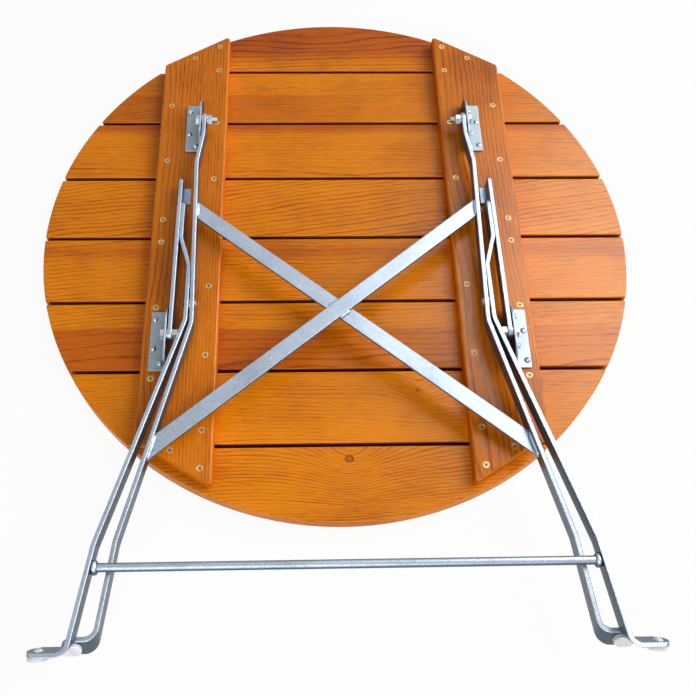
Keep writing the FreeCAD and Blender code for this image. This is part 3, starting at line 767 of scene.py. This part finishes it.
def add_brace_weld(name, sign, upper, settings, material):
    """Bead along the edge where a face of a brace meets a leg."""
    start, end = brace_end(name, sign, upper)
    way = Vector((-CORNER_LEAN * sign, 0.0, CORNER_RISE if upper else -CORNER_RISE))
    count = max(FEWEST_RIPPLES, round((end - start).length / settings.ripple))
    points = [start.lerp(end, (step + 0.5) / count) for step in range(count)]
    face = "face" if upper else "back"
    bead_name = f"weld_{name}_{side_name(sign)}_{face}"
    piece = add_bead(bead_name, points, [way] * count, settings, material, False)
    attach(piece, "inner_frame")


def add_crossing_weld(sign, settings, material):
    """Short bead in the corner where the upper brace lies on the lower one."""
    ends = [sum(brace_end("cross_brace_over", way, False), Vector()) / 2 for way in (-1, 1)]
    run = (ends[1] - ends[0]).normalized()
    crossing = ends[0] + run * (-ends[0].x / run.x)
    aside = Vector((-run.y, run.x, 0.0)) * sign
    corner = brace_end("cross_brace_over", 1, False)[1]
    half_width = abs((corner - ends[1]).dot(aside))
    count = max(FEWEST_RIPPLES, round(CROSSING_RUN * half_width / settings.ripple))
    middle = crossing + aside * half_width
    points = [middle + run * (settings.ripple * (step - (count - 1) / 2)) for step in range(count)]
    way = (aside + Vector((0.0, 0.0, 1.0))).normalized()
    side = "near" if sign < 0 else "far"
    piece = add_bead(f"weld_brace_crossing_{side}", points, [way] * count, settings, material, False)
    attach(piece, "inner_frame")


def add_rail_weld(sign, settings, material):
    """Bead round an end of the foot rail, where it meets an outer leg."""
    low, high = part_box("foot_rail")
    end_x = (high[0] if sign > 0 else low[0]) - sign * settings.bead
    centre = Vector((end_x, (low[1] + high[1]) / 2, (low[2] + high[2]) / 2))
    radius = (high[2] - low[2]) / 2
    count = max(FEWEST_ROUND_RIPPLES, round(2 * math.pi * radius / settings.ripple))
    angles = [2 * math.pi * step / count for step in range(count)]
    ways = [Vector((0.0, math.cos(angle), math.sin(angle))) for angle in angles]
    points = [centre + way * radius for way in ways]
    piece = add_bead(f"weld_foot_rail_{side_name(sign)}", points, ways, settings, material, True)
    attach(piece, "outer_frame")


# Stage

def add_area_light(name, place, target, power, size, mirrored_only=False):
    """Square lamp aimed at a target; a mirrored-only one shows in gloss and lights nothing else."""
    lamp = bpy.data.lights.new(name, "AREA")
    lamp.energy = power
    lamp.size = size
    lamp_object = bpy.data.objects.new(name, lamp)
    way = Vector(target) - Vector(place)
    lamp_object.rotation_euler = way.to_track_quat("-Z", "Y").to_euler()
    lamp_object.location = place
    lamp_object.visible_diffuse = not mirrored_only
    bpy.context.scene.collection.objects.link(lamp_object)


def seen_directly(tree):
    """1 for camera, glossy and transmission rays."""
    path = tree.nodes.new("ShaderNodeLightPath")
    total = path.outputs["Is Camera Ray"]
    for ray in ("Is Glossy Ray", "Is Transmission Ray"):
        add = tree.nodes.new("ShaderNodeMath")
        add.operation = "MAXIMUM"
        tree.links.new(total, add.inputs[0])
        tree.links.new(path.outputs[ray], add.inputs[1])
        total = add.outputs[0]
    return total


def white_floor():
    """White where it is open, in plain shadow where the top covers it."""
    t = Tree("white_floor")
    t.shade(Base_Color=(0.86, 0.86, 0.86, 1.0), Roughness=0.9)
    place = t.add("ShaderNodeTexCoord").outputs["Object"]
    x, y, _ = t.add("ShaderNodeSeparateXYZ", {0: place}).outputs
    out = t.math("SQRT", t.plus(t.times(x, x), t.times(y, y)))
    fade = t.smooth(out, *FLOOR_FADE, FLOOR_GLOW, 1.0)
    open_floor = t.times(t.smooth(out, FLOOR_COVERED, FLOOR_OPEN), fade)
    glow = t.add("ShaderNodeEmission", {"Color": WHITE, "Strength": 1.0})
    seen = t.times(seen_directly(t.tree), open_floor)
    mixed = t.add("ShaderNodeMixShader", {0: seen, 1: t.shader.outputs[0], 2: glow.outputs[0]})
    output = next(n for n in t.tree.nodes if n.type == "OUTPUT_MATERIAL")
    t.put(mixed.outputs[0], output.inputs["Surface"])
    return t.material


def add_floor():
    """Wide white floor just under the top."""
    mesh = bmesh.new()
    bmesh.ops.create_grid(mesh, x_segments=1, y_segments=1, size=FLOOR_SIZE)
    floor = new_piece("floor", mesh, white_floor())
    floor.location.z = -FLOOR_DROP


def add_room(sky):
    """White all around where it is seen, and a faint even light."""
    world = bpy.data.worlds.new("studio")
    world.use_nodes = True
    bpy.context.scene.world = world
    tree = world.node_tree
    back = next(n for n in tree.nodes if n.type == "BACKGROUND")
    back.inputs["Color"].default_value = WHITE
    strength = tree.nodes.new("ShaderNodeMapRange")
    tree.links.new(seen_directly(tree), strength.inputs[0])
    strength.inputs[3].default_value = sky
    strength.inputs[4].default_value = 1.0
    tree.links.new(strength.outputs[0], back.inputs["Strength"])


def add_camera(settings):
    """Camera of the photograph, from its place, angles and shifted lens."""
    cp, sp = math.cos(settings.pitch), math.sin(settings.pitch)
    cy, sy = math.cos(settings.yaw), math.sin(settings.yaw)
    ahead = Vector((sy * cp, cy * cp, -sp))
    right = Vector((cy, -sy, 0.0))
    up = right.cross(ahead)
    cr, sr = math.cos(settings.roll), math.sin(settings.roll)
    right, up = right * cr + up * sr, up * cr - right * sr
    turn = Matrix((right, up, -ahead)).transposed()
    lens = bpy.data.cameras.new("camera")
    lens.lens = settings.focal * lens.sensor_width
    lens.shift_x = settings.shift_x
    lens.shift_y = settings.shift_y
    camera = bpy.data.objects.new("camera", lens)
    camera.matrix_world = Matrix.Translation(Vector(settings.place)) @ turn.to_4x4()
    bpy.context.scene.collection.objects.link(camera)
    bpy.context.scene.camera = camera


# Operators

class GARDENTABLE_OT_boards(Operator):
    """Give the boards of the top their oiled wood"""

    bl_idname = "garden_table.boards"
    bl_label = "Boards"

    def execute(self, context):
        finish_wood(BOARD_GRAIN, context.scene.garden_table.wood, "board", 0)
        return {"FINISHED"}


class GARDENTABLE_OT_battens(Operator):
    """Give the battens their darker oiled wood"""

    bl_idname = "garden_table.battens"
    bl_label = "Battens"

    def execute(self, context):
        finish_wood(BATTEN_GRAIN, context.scene.garden_table.wood, "batten", 1)
        return {"FINISHED"}


class GARDENTABLE_OT_steelwork(Operator):
    """Give legs, braces, rail, links and brackets their galvanised steel"""

    bl_idname = "garden_table.steelwork"
    bl_label = "Steelwork"

    def execute(self, context):
        metal = context.scene.garden_table.metal
        zinc = galvanised("galvanised_bar", metal.galvanised, metal.spangle, metal.bar_roughness)
        finish(LEGS + BRACES + LINKS + ["foot_rail"], zinc)
        stamped = galvanised("galvanised_bracket", metal.bracket, metal.spangle, metal.bracket_roughness)
        finish(BRACKETS, stamped)
        return {"FINISHED"}


class GARDENTABLE_OT_fasteners(Operator):
    """Give bolts, nuts, washers, rivets and screws their plating"""

    bl_idname = "garden_table.fasteners"
    bl_label = "Fasteners"

    def execute(self, context):
        metal = context.scene.garden_table.metal
        finish(PIVOT_HARDWARE + ["bracket_screws"], plated("zinc_plate", metal.plated))
        finish(["batten_screws"], yellow_screw("yellow_screw", metal.brass))
        return {"FINISHED"}


class GARDENTABLE_OT_bolt_threads(Operator):
    """Cut the thread on the tips of the upper pivot bolts"""

    bl_idname = "garden_table.bolt_threads"
    bl_label = "Bolt threads"

    def execute(self, context):
        table = context.scene.garden_table
        material = plated("thread_zinc", table.metal.plated)
        for sign in (-1, 1):
            add_bolt_thread(sign, table.thread, material)
        return {"FINISHED"}


class GARDENTABLE_OT_glides(Operator):
    """Give the foot glides their plastic"""

    bl_idname = "garden_table.glides"
    bl_label = "Glides"

    def execute(self, context):
        finish(GLIDES, moulded_plastic("glide_plastic", context.scene.garden_table.metal.glide))
        return {"FINISHED"}


class GARDENTABLE_OT_welds(Operator):
    """Add the weld beads of the cross brace and the foot rail"""

    bl_idname = "garden_table.welds"
    bl_label = "Welds"

    def execute(self, context):
        table = context.scene.garden_table
        bright = scaled(table.metal.galvanised, WELD_BRIGHT)
        material = galvanised("weld_bead", bright, table.metal.spangle / 3, table.metal.bar_roughness)
        for sign in (-1, 1):
            for name in BRACES:
                for upper in (True, False):
                    add_brace_weld(name, sign, upper, table.welds, material)
            add_crossing_weld(sign, table.welds, material)
            add_rail_weld(sign, table.welds, material)
        return {"FINISHED"}


class GARDENTABLE_OT_stage(Operator):
    """Add the floor, the lamps and the camera"""

    bl_idname = "garden_table.stage"
    bl_label = "Stage"

    def execute(self, context):
        stage = context.scene.garden_table.stage
        add_floor()
        add_room(stage.sky)
        add_area_light("key", stage.key_place, stage.key_aim, stage.key_power, stage.key_size)
        add_area_light("sheen", stage.sheen_place, stage.sheen_aim, stage.sheen_power, stage.sheen_size, True)
        add_area_light("fill", stage.fill_place, stage.fill_aim, stage.fill_power, stage.fill_size)
        add_camera(stage)
        context.scene.view_settings.view_transform = "Standard"
        return {"FINISHED"}


OPERATORS = [
    GARDENTABLE_OT_boards,
    GARDENTABLE_OT_battens,
    GARDENTABLE_OT_steelwork,
    GARDENTABLE_OT_fasteners,
    GARDENTABLE_OT_bolt_threads,
    GARDENTABLE_OT_glides,
    GARDENTABLE_OT_welds,
    GARDENTABLE_OT_stage,
]


class GARDENTABLE_PT_sidebar(Panel):
    """Lists the steps that dress the table, and their settings"""

    bl_idname = "GARDENTABLE_PT_sidebar"
    bl_label = "Garden Table"
    bl_space_type = "VIEW_3D"
    bl_region_type = "UI"
    bl_category = "Garden Table"

    def draw(self, context):
        table = context.scene.garden_table
        for operator in OPERATORS:
            self.layout.operator(operator.bl_idname)
        for group in (table.wood, table.metal, table.thread, table.welds, table.stage):
            for key in type(group).__annotations__:
                self.layout.prop(group, key)


CLASSES = [
    WoodFinish, MetalFinish, ThreadSettings, WeldSettings, StageSettings, GardenTableSettings,
    *OPERATORS, GARDENTABLE_PT_sidebar,
]


def register():
    for cls in CLASSES:
        bpy.utils.register_class(cls)
    bpy.types.Scene.garden_table = PointerProperty(
        name="Garden table", description="Settings of the folding garden table", type=GardenTableSettings,
    )


def unregister():
    del bpy.types.Scene.garden_table
    for cls in reversed(CLASSES):
        bpy.utils.unregister_class(cls)


def main():
    register()
    bpy.ops.garden_table.boards()
    bpy.ops.garden_table.battens()
    bpy.ops.garden_table.steelwork()
    bpy.ops.garden_table.fasteners()
    bpy.ops.garden_table.bolt_threads()
    bpy.ops.garden_table.glides()
    bpy.ops.garden_table.welds()
    bpy.ops.garden_table.stage()


if __name__ == "__main__":
    main()
